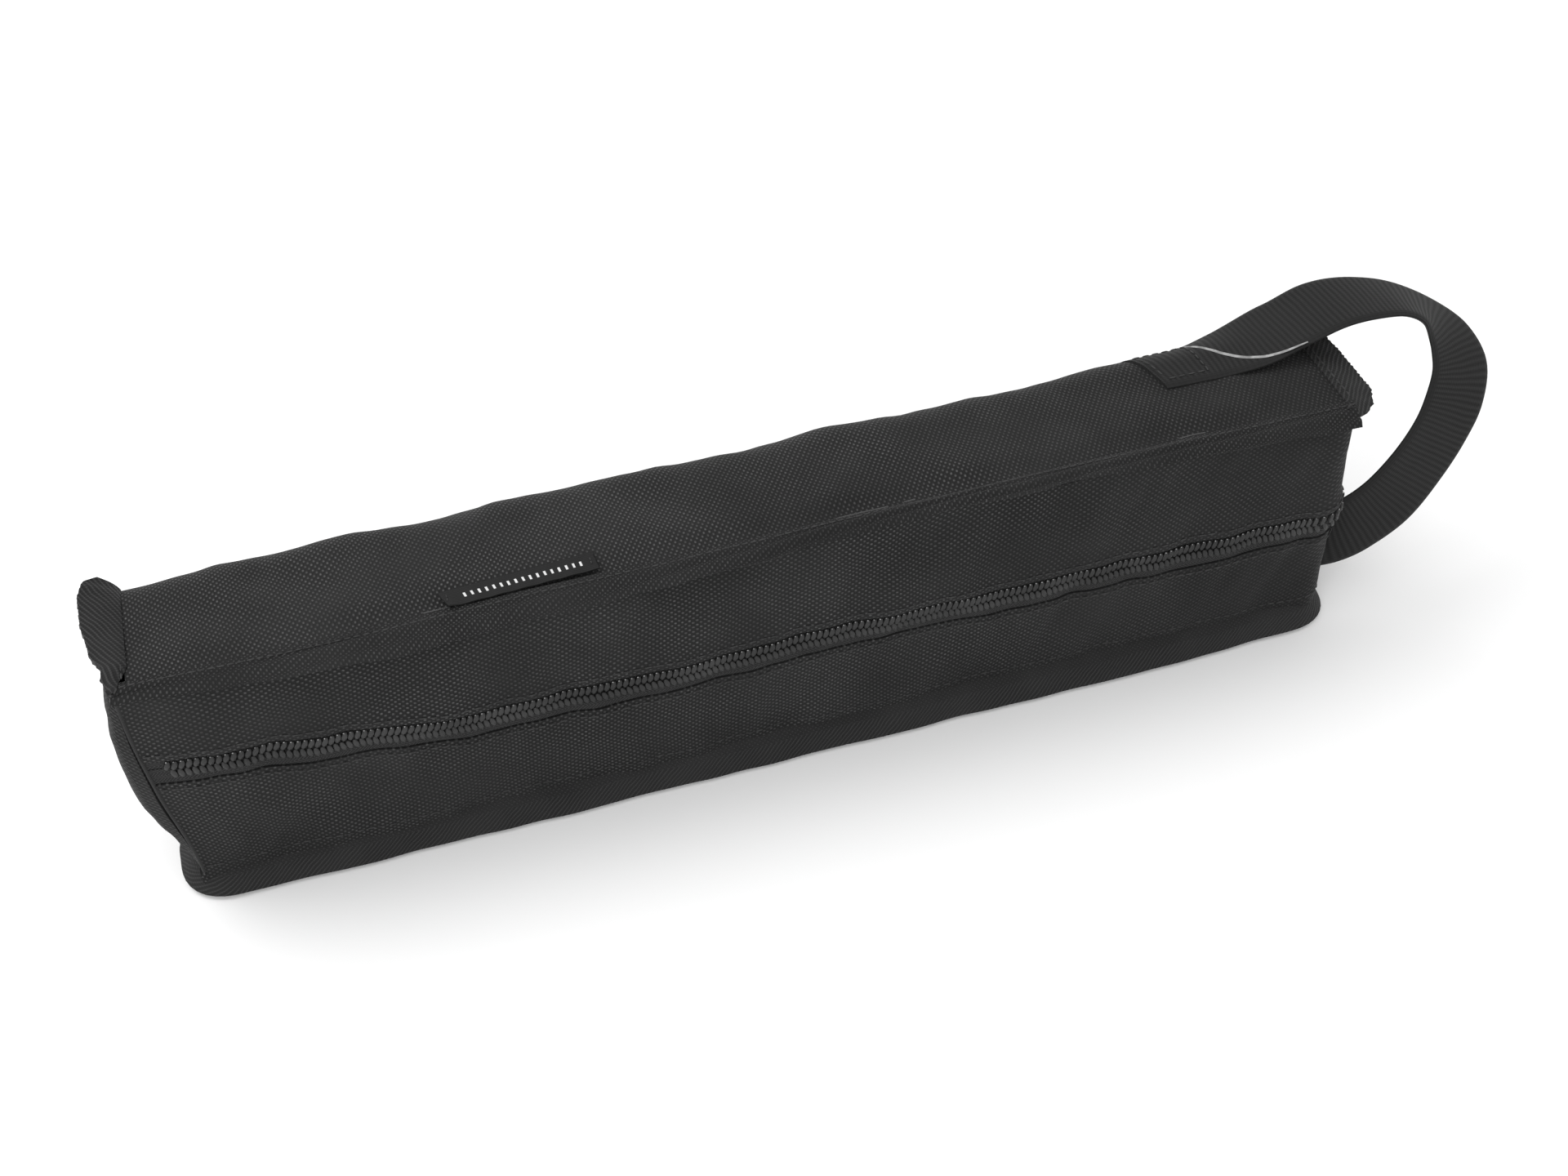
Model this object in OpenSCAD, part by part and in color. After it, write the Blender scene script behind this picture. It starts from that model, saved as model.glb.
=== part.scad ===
// Padded zip case for a slim bar-shaped device, with a wrist strap on one end.
// Lies on its bottom panel: X along the length (strap end is +X), Y away from the
// zip face, Z up. The origin is the middle of the resting face. Millimetres.

/* [Body] */
// Length of the case between its two ends
body_l = 330; // [260:1:420]
// Depth of the case, from the zip face to the back
body_d = 46; // [40:1:70]
// Height of the case
body_h = 80; // [70:1:100]
// Radius of the two upright corners of the zip face
corner_r = 13; // [9:0.5:15]
// Radius of the two upright corners at the back
back_corner_r = 6; // [5:0.5:8]
// Radius of the long edges at the back, where the main panel wraps round
back_edge_r = 15; // [8:0.5:18]
// Radius of the long edges at the front
front_edge_r = 2.5; // [1.5:0.25:3]

/* [Plies] */
// Thickness of the woven outer fabric
fabric_t = 0.9; // [0.6:0.1:1.2]
// Thickness of the foam padding
foam_t = 1.8; // [1:0.1:3]
// Thickness of the lining
lining_t = 0.4; // [0.3:0.1:0.6]
// Air left between two plies
ply_gap = 0.05; // [0.02:0.01:0.1]

/* [Seams] */
// Height of the seam between the bottom panel and the lower zip band
bottom_seam_z = 8; // [7:0.5:10]
// Drop of the seam between the top panel and the upper zip band
top_seam_drop = 3.5; // [3.5:0.5:6]
// Width of the binding tape that stands out from a seam
binding_w = 9; // [6:0.5:12]
// Thickness of a folded binding
binding_t = 1.6; // [1.2:0.1:2]
// Slope of the long top binding below level, degrees
top_binding_slope = 40; // [20:5:60]
// Slope of the long bottom binding below level, degrees
bottom_binding_slope = 30; // [20:1:32]
// Air between a flap of the mouth and what is fixed round it
flap_gap = 0.4; // [0.3:0.05:0.8]

/* [Zip] */
// Height of the middle of the zip above the resting face
zip_z = 43; // [41:0.5:48]
// Slit between the two rows of coil
zip_slit = 1; // [0.8:0.1:1.4]
// Width of one row of coil
coil_w = 2.3; // [2:0.1:3]
// How far the coil stands out past the outer fabric
coil_proud = 0.5; // [0.3:0.1:1]
// Thickness of the zip tape
tape_t = 0.6; // [0.4:0.1:0.8]
// Width of the tape on one side of the zip
tape_w = 10; // [9:0.5:14]
// Distance from the slider's sides to the folded edges of the two bands
band_edge = 0.6; // [0.4:0.1:2]
// Distance along the strap end from the middle of the depth to the end of the zip
zip_end_y = 14.6; // [12:0.2:15]

/* [Slider] */
// Length of the slider along the zip
slider_l = 10; // [9:0.5:12]
// Width of the slider across the zip
slider_w = 9.2; // [8.8:0.2:10]
// Length of the metal stop where the zip ends
stop_l = 1.6; // [1.2:0.1:2]
// Thickness of the slider's plates
plate_t = 1.4; // [1:0.1:1.8]
// Running clearance between the slider and the zip
slider_gap = 0.25; // [0.2:0.05:0.4]
// Length of the pull tab from its pivot
pull_l = 13.5; // [11:0.5:14]
// Width of the pull tab
pull_w = 7; // [6.4:0.2:8]
// Thickness of the pull tab
pull_t = 1.2; // [0.8:0.1:1.4]

/* [Strap] */
// Width of the strap webbing
webbing_w = 25; // [20:1:25]
// Thickness of the webbing
webbing_t = 1.8; // [1.2:0.1:2]
// Air under the parts of the strap that are sewn down
strap_gap = 0.15; // [0.1:0.05:0.3]
// Height of the middle of the strap's lower sewn end
strap_root_z = 25; // [22:0.5:25]
// Thickness of a sewing thread
thread_d = 0.5; // [0.3:0.1:0.8]

/* [Label] */
// Length of the woven label on the top panel
label_l = 40; // [30:1:50]
// Width of the label
label_w = 6; // [5:0.5:8]
// Thickness of the label
label_t = 0.5; // [0.3:0.1:0.8]
// Distance of the label's middle from the left end
label_from_end = 100; // [60:1:200]
// Distance of the label's middle from the zip face
label_from_front = 5.5; // [5:0.5:14]

/* [Hidden] */
$fn = 64;

fabric_black = [0.19, 0.19, 0.20];
foam_grey = [0.35, 0.35, 0.36];
lining_grey = [0.25, 0.25, 0.27];
tape_black = [0.15, 0.15, 0.16];
coil_grey = [0.42, 0.42, 0.43];
metal_grey = [0.30, 0.30, 0.31];

half_l = body_l / 2;
half_d = body_d / 2;
foam_in = fabric_t + ply_gap;
foam_out = foam_in + foam_t;
lining_in = foam_out + ply_gap;
wall_t = lining_in + lining_t;
tape_in = fabric_t + 2 * ply_gap;
tape_out = tape_in + tape_t;
bottom_seam = bottom_seam_z;
top_seam = body_h - top_seam_drop;
flap_x = half_l - corner_r;
cap_x = half_l - wall_t;
tape_edge = zip_slit / 2 + tape_w;
foam_edge = tape_edge + flap_gap;
lining_edge = slider_w / 2 + 2 * flap_gap;
coil_top = zip_slit / 2 + coil_w;
band_start = slider_w / 2 + band_edge;
far = 3 * (body_l + body_d + body_h);
eps = 0.01;

slider_y = zip_end_y - slider_l / 2 - stop_l - flap_gap;
plate_x = half_l + coil_proud + slider_gap;
back_plate_x = half_l - tape_out - slider_gap - plate_t;
neck_w = zip_slit - 2 * slider_gap;
neck_l = slider_l / 3;
bridge_x = plate_x + plate_t;
bridge_l = 0.72 * slider_l;
bridge_bar = 1;
bridge_w = 2;
pivot_r = 0.7;
pivot_x = bridge_x + slider_gap + pivot_r;
bridge_h = 2 * slider_gap + 2 * pivot_r + bridge_bar;

// Where the strap leaves the top panel, runs round in the air and comes back to
// the end wall: middle line, then the direction from its far edge to its near edge.
strap_top_z = body_h + strap_gap + webbing_t / 2;
strap_end_x = half_l + strap_gap + webbing_t / 2;
strap_root_y = 0;
bend = 2.2;
strap_route = [
    [[half_l - 44.5, 11.5, strap_top_z], [0.1, -1, 0]],
    [[half_l - 36, 11.2, strap_top_z], [0.1, -1, 0]],
    [[half_l - 27, 11, strap_top_z], [0.1, -1, 0]],
    [[half_l - 15, 10.5, strap_top_z + 0.8], [0.1, -1, 0.05]],
    [[half_l - 4, 11, strap_top_z + 3.2], [0.06, -1, 0.1]],
    [[half_l + 8, 11.6, strap_top_z + 6.6], [0.06, -1, 0.08]],
    [[half_l + 19, 11.5, strap_top_z + 6.8], [0, -1, 0.1]],
    [[half_l + 30, 9.7, strap_top_z + 5.2], [-0.2, -0.96, 0.19]],
    [[half_l + 38, 5.6, strap_top_z + 1.7], [-0.5, -0.81, 0.28]],
    [[half_l + 42.6, -0.6, strap_top_z - 3.6], [-0.8, -0.55, 0.25]],
    [[half_l + 44, -7, strap_top_z - 10.4], [-0.9, -0.29, 0.3]],
    [[half_l + 41.6, -11.3, strap_top_z - 18.3], [-0.87, -0.13, 0.48]],
    [[half_l + 37, -14.4, strap_top_z - 26.3], [-0.82, -0.11, 0.57]],
    [[half_l + 30, -16.8, strap_top_z - 35.6], [-0.75, -0.07, 0.65]],
    [[half_l + 21, -18.2, strap_root_z + 10.5], [-0.62, 0, 0.78]],
    [[half_l + 12, -17.8, strap_root_z + 4], [-0.39, 0, 0.92]],
    [[half_l + 5.5, -16, strap_root_z + 0.8], [-0.15, 0, 1]],
    [[strap_end_x + 0.3 * bend, -14.3, strap_root_z], [0, 0, 1]],
    [[strap_end_x, -14.3 + bend, strap_root_z], [0, 0, 1]],
    [[strap_end_x, -6, strap_root_z], [0, 0, 1]],
    [[strap_end_x, strap_root_y, strap_root_z], [0, 0, 1]]
];
strap_steps = 3;

// ---- Shared shapes ----

// A box between two corners
module slab(low, high) {
    translate(low) cube(high - low);
}

// Outline of the case seen from above, taken in by inset
module plan_outline(inset) {
    x = half_l - inset;
    y = half_d - inset;
    r_front = corner_r - inset;
    r_back = back_corner_r - inset;
    translate([-(x - r_front), -y]) square([2 * (x - r_front), y]);
    translate([-(x - r_back), 0]) square([2 * (x - r_back), y]);
    translate([-x, -(y - r_front)]) square([2 * x, 2 * y - r_front - r_back]);
    for (side = [-1, 1]) {
        translate([side * (x - r_front), -(y - r_front)]) circle(r = r_front);
        translate([side * (x - r_back), y - r_back]) circle(r = r_back);
    }
}

// Outline of the case seen from its end, taken in by inset
module end_outline(inset) {
    y = half_d - inset;
    low = inset;
    high = body_h - inset;
    r_front = max(front_edge_r - inset, eps);
    r_back = back_edge_r - inset;
    translate([-(y - r_front), low]) square([2 * y - r_front - r_back, high - low]);
    translate([-y, low + r_front]) square([y, high - low - 2 * r_front]);
    translate([0, low + r_back]) square([y, high - low - 2 * r_back]);
    for (z = [low, high]) {
        up = z == low ? 1 : -1;
        translate([-(y - r_front), z + up * r_front]) circle(r = r_front);
        translate([y - r_back, z + up * r_back]) circle(r = r_back);
    }
}

// The whole case as one solid, taken in by inset
module case_solid(inset) {
    intersection() {
        translate([0, 0, inset])
            linear_extrude(body_h - 2 * inset) plan_outline(inset);
        rotate([90, 0, 90])
            linear_extrude(body_l + 2 * corner_r, center = true) end_outline(inset);
    }
}

// A skin of the case between two insets
module ply(outer, inner) {
    difference() {
        case_solid(outer);
        case_solid(inner);
    }
}

// The part of a skin inside a box
module ply_in(outer, inner, low, high) {
    intersection() {
        ply(outer, inner);
        slab(low, high);
    }
}

// The room that the zip bands take: the front between the seams, and at the strap
// end round the corner as far as the end of the zip
module band_room() {
    slab([-cap_x, -far, bottom_seam], [flap_x, corner_r - half_d, top_seam]);
    slab([flap_x - eps, -far, bottom_seam], [far, zip_end_y + flap_gap, top_seam]);
}

// A ply of the main panel, which wraps over the top, the back and the bottom
module wrap(outer, inner) {
    difference() {
        ply_in(outer, inner, [-cap_x + ply_gap, -far, -far], [cap_x - ply_gap, far, far]);
        band_room();
    }
    // strips above and below the bands at the strap end
    for (z = [[-far, bottom_seam], [top_seam, far]])
        ply_in(outer, inner, [cap_x - ply_gap - eps, -far, z[0]], [far, zip_end_y, z[1]]);
}

// A band of the front that swings with a flap
module flap_strip(outer, inner, low_z, high_z) {
    ply_in(outer, inner, [-flap_x + flap_gap, -far, low_z],
        [flap_x - flap_gap, wall_t - half_d + eps, high_z]);
}

// A strip round the front corner at the strap end, as far as the end of the zip
module right_corner_strip(outer, inner, low_z, high_z) {
    ply_in(outer, inner, [flap_x, -far, low_z], [far, zip_end_y, high_z]);
}

// A strip on the front corner at the plain end, as far as the upright seam
module left_corner_strip(outer, inner, low_z, high_z) {
    ply_in(outer, inner, [-cap_x + ply_gap, -far, low_z],
        [-flap_x, corner_r - half_d, high_z]);
}

// ---- Main panel ----

module main_panel() {
    color(fabric_black) wrap(0, fabric_t);
}

module main_lining() {
    color(lining_grey)
        difference() {
            ply_in(lining_in, wall_t, [-cap_x + ply_gap, -far, -far],
                [cap_x - ply_gap, far, far]);
            band_room();
        }
}

// A foam board behind the main panel, clear of the edges it is folded round
module foam_board(low, high) {
    color(foam_grey) ply_in(foam_in, foam_out, low, high);
}

module top_foam() {
    foam_board([-cap_x + 1, wall_t - half_d, body_h - foam_out - eps],
        [cap_x - 1, half_d - back_edge_r, far]);
}

module back_foam() {
    foam_board([-cap_x + 1, half_d - back_edge_r + 1, back_edge_r],
        [cap_x - 1, far, body_h - back_edge_r]);
}

module bottom_foam() {
    foam_board([-cap_x + 1, wall_t - half_d, -far],
        [cap_x - 1, half_d - back_edge_r, foam_out + eps]);
}

// ---- Ends ----

// One ply of an end: side is -1 at the plain end and 1 at the strap end
module end_cap(side, outer, inner) {
    front = side < 0 ? -far : zip_end_y + flap_gap;
    low_x = side < 0 ? -far : cap_x;
    high_x = side < 0 ? -cap_x : far;
    ply_in(outer, inner, [low_x, front, -far], [high_x, far, far]);
}

module left_end_panel() {
    color(fabric_black) end_cap(-1, 0, fabric_t);
}

module left_end_foam() {
    color(foam_grey) end_cap(-1, foam_in, foam_out);
}

module left_end_lining() {
    color(lining_grey) end_cap(-1, lining_in, wall_t);
}

module right_end_panel() {
    color(fabric_black) end_cap(1, 0, fabric_t);
}

module right_end_foam() {
    color(foam_grey) end_cap(1, foam_in, foam_out);
}

module right_end_lining() {
    color(lining_grey) end_cap(1, lining_in, wall_t);
}

// ---- Fixed corner bands ----

module left_corner_bands() {
    color(fabric_black) {
        left_corner_strip(0, fabric_t, bottom_seam, zip_z - band_start);
        left_corner_strip(0, fabric_t, zip_z + band_start, top_seam);
    }
}

module left_corner_lining() {
    color(lining_grey) {
        left_corner_strip(lining_in, wall_t, bottom_seam, zip_z - lining_edge);
        left_corner_strip(lining_in, wall_t, zip_z + lining_edge, top_seam);
    }
}

module right_corner_upper_band() {
    color(fabric_black) right_corner_strip(0, fabric_t, zip_z + band_start, top_seam);
}

module right_corner_lower_band() {
    color(fabric_black) right_corner_strip(0, fabric_t, bottom_seam, zip_z - band_start);
}

module right_corner_lining() {
    color(lining_grey) {
        right_corner_strip(lining_in, wall_t, bottom_seam, zip_z - lining_edge);
        right_corner_strip(lining_in, wall_t, zip_z + lining_edge, top_seam);
    }
}

// ---- Zip ----

module corner_zip_tapes() {
    color(tape_black)
        for (edge = [[-tape_edge, -zip_slit / 2], [zip_slit / 2, tape_edge]]) {
            right_corner_strip(tape_in, tape_out, zip_z + edge[0], zip_z + edge[1]);
            left_corner_strip(tape_in, tape_out, zip_z + edge[0], zip_z + edge[1]);
        }
}

module corner_zip_coils() {
    color(coil_grey)
        for (edge = [[-coil_top, -zip_slit / 2], [zip_slit / 2, coil_top]]) {
            right_corner_strip(-coil_proud, tape_in, zip_z + edge[0], zip_z + edge[1]);
            left_corner_strip(-coil_proud, tape_in, zip_z + edge[0], zip_z + edge[1]);
        }
}

// Metal staple across the coil where the zip ends
module zip_end_stop() {
    color(metal_grey)
        slab([plate_x, zip_end_y - stop_l + flap_gap / 2, zip_z - coil_top],
            [plate_x + 0.8, zip_end_y + flap_gap / 2, zip_z + coil_top]);
}

// ---- Bindings that stand out from the seams ----

// Binding round the seam of one end: over the top, the back and the bottom
module end_binding(side) {
    color(tape_black)
        translate([side < 0 ? -half_l - binding_w : half_l, 0, 0])
            rotate([90, 0, 90])
                linear_extrude(binding_w)
                    intersection() {
                        difference() {
                            end_outline(0);
                            end_outline(binding_t);
                        }
                        translate([corner_r - half_d, -far]) square([far, 2 * far]);
                    }
}

module left_end_binding() {
    end_binding(-1);
}

module right_end_binding() {
    end_binding(1);
}

// Upright piping where the front bands meet the plain end
module left_seam_binding() {
    piping_r = 0.9;
    arc_y = half_d - corner_r + sqrt(pow(corner_r, 2) - pow(cap_x - flap_x, 2));
    color(tape_black)
        translate([-cap_x - piping_r, -arc_y - piping_r, bottom_seam])
            cylinder(r = piping_r, h = top_seam - bottom_seam);
}

// A long binding of the front seam, sloping down from the seam line
module front_binding(seam_z, slope, reach) {
    tip = [-reach * cos(slope), -reach * sin(slope)];
    drop = binding_t / cos(slope);
    color(tape_black)
        translate([-flap_x + flap_gap, -half_d - ply_gap, seam_z])
            rotate([90, 0, 90])
                linear_extrude(2 * (flap_x - flap_gap))
                    polygon([[0, 0], tip, tip - [0, drop], [0, -drop]]);
}

module bottom_front_binding() {
    front_binding(bottom_seam - flap_gap, bottom_binding_slope, binding_w);
}

module top_front_binding() {
    front_binding(top_seam - flap_gap, top_binding_slope, binding_w);
}

// ---- Label ----

module woven_label() {
    color(tape_black)
        translate([label_from_end - half_l, label_from_front - half_d, body_h + strap_gap])
            translate([-label_l / 2, -label_w / 2, 0]) cube([label_l, label_w, label_t]);
}

module label_stitches() {
    inset = 1.5;
    color(coil_grey)
        for (side = [-1, 1])
            translate([label_from_end - half_l + side * (label_l / 2 - inset),
                    label_from_front - half_d, body_h + strap_gap + label_t + ply_gap])
                translate([-thread_d / 2, -label_w / 2 + thread_d, 0])
                    cube([thread_d, label_w - 2 * thread_d, thread_d]);
}

// ---- Strap ----

function unit(v) = v / norm(v);

// Point of a Catmull-Rom curve between b and c
function between(a, b, c, d, t) =
    0.5 * (2 * b + (c - a) * t + (2 * a - 5 * b + 4 * c - d) * t * t
        + (3 * b - a - 3 * c + d) * t * t * t);

function clamped(i, last) = min(max(i, 0), last);

// Stations along the strap: k is 0 for the middle line and 1 for the width direction
function strap_stations(k) =
    let (last = len(strap_route) - 1)
    [for (i = [0 : last - 1], s = [0 : strap_steps - 1])
        between(strap_route[clamped(i - 1, last)][k], strap_route[i][k],
            strap_route[i + 1][k], strap_route[clamped(i + 2, last)][k], s / strap_steps),
     strap_route[last][k]];

// The webbing: a flat band swept along its stations
module wrist_strap() {
    line = strap_stations(0);
    across = strap_stations(1);
    last = len(line) - 1;
    ring = [for (i = [0 : last])
        let (
            ahead = unit(line[min(i + 1, last)] - line[max(i - 1, 0)]),
            wide = unit(across[i] - (across[i] * ahead) * ahead) * webbing_w / 2,
            thick = unit(cross(ahead, wide)) * webbing_t / 2
        )
        each [line[i] - wide - thick, line[i] + wide - thick,
              line[i] + wide + thick, line[i] - wide + thick]];
    sides = [for (i = [0 : last - 1], k = [0 : 3])
        let (a = 4 * i + k, b = 4 * i + (k + 1) % 4)
        each [[a, b, a + 4], [b, b + 4, a + 4]]];
    ends = [[0, 3, 2, 1], [4 * last, 4 * last + 1, 4 * last + 2, 4 * last + 3]];
    color(fabric_black) polyhedron(ring, concat(sides, ends));
}

// A sewn box: four rows of thread round a rectangle, in the XY plane
module stitch_box(size) {
    for (side = [-1, 1]) {
        translate([-size[0] / 2, side * size[1] / 2 - thread_d / 2, 0])
            cube([size[0], thread_d, thread_d]);
        translate([side * size[0] / 2 - thread_d / 2, -size[1] / 2, 0])
            cube([thread_d, size[1], thread_d]);
    }
}

module strap_top_stitches() {
    color(coil_grey)
        translate([half_l - 38, 11.5, strap_top_z + webbing_t / 2 + strap_gap])
            rotate([0, 0, 8]) stitch_box([11, webbing_w - 7]);
}

module strap_end_stitches() {
    color(coil_grey)
        translate([strap_end_x + webbing_t / 2 + strap_gap, strap_root_y - 5, strap_root_z])
            rotate([0, 90, 0]) stitch_box([webbing_w - 7, 7]);
}

// ---- Upper flap of the mouth ----

module upper_band() {
    color(fabric_black)
        flap_strip(0, fabric_t, zip_z + band_start, top_seam - flap_gap);
}

module upper_band_foam() {
    color(foam_grey)
        flap_strip(foam_in, foam_out, zip_z + foam_edge, top_seam - 2 * flap_gap);
}

module upper_band_lining() {
    color(lining_grey)
        flap_strip(lining_in, wall_t, zip_z + lining_edge, top_seam - 2 * flap_gap);
}

module upper_zip_tape() {
    color(tape_black)
        flap_strip(tape_in, tape_out, zip_z + zip_slit / 2, zip_z + tape_edge);
}

module upper_zip_coil() {
    color(coil_grey)
        flap_strip(-coil_proud, tape_in, zip_z + zip_slit / 2, zip_z + coil_top);
}

// ---- Lower flap of the mouth ----

module lower_band() {
    color(fabric_black)
        flap_strip(0, fabric_t, bottom_seam + flap_gap, zip_z - band_start);
}

module lower_band_foam() {
    color(foam_grey)
        flap_strip(foam_in, foam_out, bottom_seam + 2 * flap_gap, zip_z - foam_edge);
}

module lower_band_lining() {
    color(lining_grey)
        flap_strip(lining_in, wall_t, bottom_seam + 2 * flap_gap, zip_z - lining_edge);
}

module lower_zip_tape() {
    color(tape_black)
        flap_strip(tape_in, tape_out, zip_z - tape_edge, zip_z - zip_slit / 2);
}

module lower_zip_coil() {
    color(coil_grey)
        flap_strip(-coil_proud, tape_in, zip_z - coil_top, zip_z - zip_slit / 2);
}

// ---- Slider and pull ----

module slider_body() {
    y = [slider_y - slider_l / 2, slider_y + slider_l / 2];
    flange_z = coil_top + slider_gap;
    color(metal_grey) {
        slab([plate_x, y[0], zip_z - slider_w / 2], [bridge_x, y[1], zip_z + slider_w / 2]);
        slab([back_plate_x, y[0], zip_z - slider_w / 2],
            [back_plate_x + plate_t, y[1], zip_z + slider_w / 2]);
        slab([back_plate_x + eps, slider_y - neck_l / 2, zip_z - neck_w / 2],
            [plate_x + eps, slider_y + neck_l / 2, zip_z + neck_w / 2]);
        for (side = [-1, 1])
            slab([half_l - fabric_t, y[0], zip_z + (side < 0 ? -slider_w / 2 : flange_z)],
                [plate_x + eps, y[1], zip_z + (side < 0 ? -flange_z : slider_w / 2)]);
    }
}

// Arched loop on the slider that holds the pull tab
module slider_bridge() {
    color(metal_grey)
        difference() {
            slab([bridge_x, slider_y - bridge_l / 2, zip_z - bridge_w / 2],
                [bridge_x + bridge_h, slider_y + bridge_l / 2, zip_z + bridge_w / 2]);
            slab([bridge_x - eps, slider_y - bridge_l / 2 + bridge_bar, -far],
                [bridge_x + bridge_h - bridge_bar, slider_y + bridge_l / 2 - bridge_bar, far]);
        }
}

// Flat tab with an eye, held by a round bar that turns under the bridge
module pull_tab() {
    eye_l = bridge_l / 2 + bridge_h;
    leg_w = (pull_w - bridge_w) / 2 - 2 * slider_gap;
    color(metal_grey)
        translate([pivot_x, slider_y, zip_z]) {
            cylinder(r = pivot_r, h = pull_w, center = true);
            difference() {
                slab([-pull_t / 2, -pull_l, -pull_w / 2], [pull_t / 2, 0, pull_w / 2]);
                slab([-pull_t, -eye_l, -pull_w / 2 + leg_w],
                    [pull_t, eps, pull_w / 2 - leg_w]);
            }
        }
}

main_panel();
main_lining();
top_foam();
back_foam();
bottom_foam();
left_end_panel();
left_end_foam();
left_end_lining();
right_end_panel();
right_end_foam();
right_end_lining();
left_corner_bands();
left_corner_lining();
right_corner_upper_band();
right_corner_lower_band();
right_corner_lining();
corner_zip_tapes();
corner_zip_coils();
zip_end_stop();
left_end_binding();
right_end_binding();
left_seam_binding();
bottom_front_binding();
woven_label();
label_stitches();
wrist_strap();
strap_top_stitches();
strap_end_stitches();
upper_band();
upper_band_foam();
upper_band_lining();
upper_zip_tape();
upper_zip_coil();
top_front_binding();
lower_band();
lower_band_foam();
lower_band_lining();
lower_zip_tape();
lower_zip_coil();
slider_body();
slider_bridge();
pull_tab();
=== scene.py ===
import math

import bpy
import numpy as np
from mathutils import Matrix, Vector


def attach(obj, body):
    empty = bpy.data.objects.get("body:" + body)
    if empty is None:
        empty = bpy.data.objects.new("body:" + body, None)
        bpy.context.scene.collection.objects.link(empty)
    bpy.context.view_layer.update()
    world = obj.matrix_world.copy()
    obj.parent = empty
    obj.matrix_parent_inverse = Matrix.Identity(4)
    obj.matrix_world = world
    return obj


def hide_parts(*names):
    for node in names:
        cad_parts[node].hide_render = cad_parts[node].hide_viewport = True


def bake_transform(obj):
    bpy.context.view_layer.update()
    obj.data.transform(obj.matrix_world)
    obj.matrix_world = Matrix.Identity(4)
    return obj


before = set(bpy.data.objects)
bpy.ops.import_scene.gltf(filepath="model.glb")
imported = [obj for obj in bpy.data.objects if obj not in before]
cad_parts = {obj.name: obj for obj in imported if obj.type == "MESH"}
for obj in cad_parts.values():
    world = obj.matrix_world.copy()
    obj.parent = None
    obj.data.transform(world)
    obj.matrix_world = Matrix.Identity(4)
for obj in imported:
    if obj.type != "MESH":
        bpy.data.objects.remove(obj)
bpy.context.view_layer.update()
print("frame loaded")

mm = 0.001  # lengths below are in millimetres, meshes are in metres

# the case: outside sizes, its rounded edges and the thickness of its padded wall
case = {
    "halfLength": 165,
    "halfDepth": 23,
    "height": 80,
    "backEdge": 15,
    "bottomEdge": 2.5,
    "rightCorner": 6.5,
    "topCorner": 4,
    "leftCorner": 1.2,
    "backCorner": 6,
    "wall": 2.7,
    "liningGap": 0.2,
    "liningWall": 0.4,
    "flapStart": 152,
    "flapFull": 95,
    "lean": 3.0,
}


# small maths used by every piece
def smoothStep(low, high, t):
    # 0 below low, 1 above high, a soft S between
    w = np.clip((t - low) / (high - low), 0, 1)
    return w * w * (3 - 2 * w)


def hump(t, middle, width):
    # a bell of height 1 around middle
    return np.exp(-(((t - middle) / width) ** 2))


def ripple(u, v, seed, longest=70.0, shortest=16.0, count=9):
    # soft uneven waves: a sum of sines whose lengths, directions and starts come from the seed
    rng = np.random.default_rng(seed)
    total = 0.0 * (u + v)
    for k in range(count):
        length = longest * (shortest / longest) ** (k / (count - 1))
        angle, start = rng.uniform(0, 2 * math.pi, 2)
        bend = 0.5 * np.sin(2 * math.pi * (u - v) / (3.1 * longest) + angle)
        wave = 2 * math.pi * (u * math.cos(angle) + v * math.sin(angle)) / length
        total = total + (length / longest) ** 0.8 * np.sin(wave + start + bend)
    return total / 2.2


def curve(stops, t):
    # a value read off a list of (place, value) stops, with soft changes between them
    places, values = np.array(stops, float).T
    index = np.clip(np.searchsorted(places, t) - 1, 0, len(places) - 2)
    w = np.clip((t - places[index]) / (places[index + 1] - places[index]), 0, 1)
    w = w * w * (3 - 2 * w)
    return values[index] * (1 - w) + values[index + 1] * w


def resample(points, step, count=0):
    # the same line with evenly spaced points about step apart, or count of them, and the length up to each
    gaps = np.linalg.norm(np.diff(points, axis=0), axis=1)
    along = np.concatenate([[0], np.cumsum(gaps)])
    places = np.linspace(0, along[-1], count or max(2, int(round(along[-1] / step)) + 1))
    return np.stack([np.interp(places, along, points[:, k]) for k in range(points.shape[1])], 1), places


def arc(centreX, centreY, radius, start, end, count=14):
    # points of a circle between two angles in degrees
    a = np.radians(np.linspace(start, end, count))
    return np.stack([centreX + radius * np.cos(a), centreY + radius * np.sin(a)], 1)


def unit(v):
    return v / np.maximum(np.linalg.norm(v, axis=-1, keepdims=True), 1e-9)


def putMesh(name, points, faces, uv, look):
    # points in millimetres; faces is a list of index arrays of one width each; uv has one row a point
    mesh = bpy.data.meshes.new(name)
    rows = [row for block in faces for row in block.tolist()]
    mesh.from_pydata((points * mm).tolist(), [], rows)
    layer = mesh.uv_layers.new(name="surface")
    corners = np.zeros(len(mesh.loops), dtype=np.int32)
    mesh.loops.foreach_get("vertex_index", corners)
    layer.data.foreach_set("uv", uv[corners].astype(np.float32).ravel())
    mesh.polygons.foreach_set("use_smooth", np.ones(len(mesh.polygons), dtype=bool))
    mesh.set_sharp_from_angle(angle=math.radians(55))
    mesh.materials.append(look.material)
    piece = bpy.data.objects.new(name, mesh)
    bpy.context.scene.collection.objects.link(piece)
    return piece


def gridNormals(points):
    # unit normals of a grid: the cross product of its two directions
    return unit(np.cross(np.gradient(points, axis=0), np.gradient(points, axis=1)))


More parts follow.
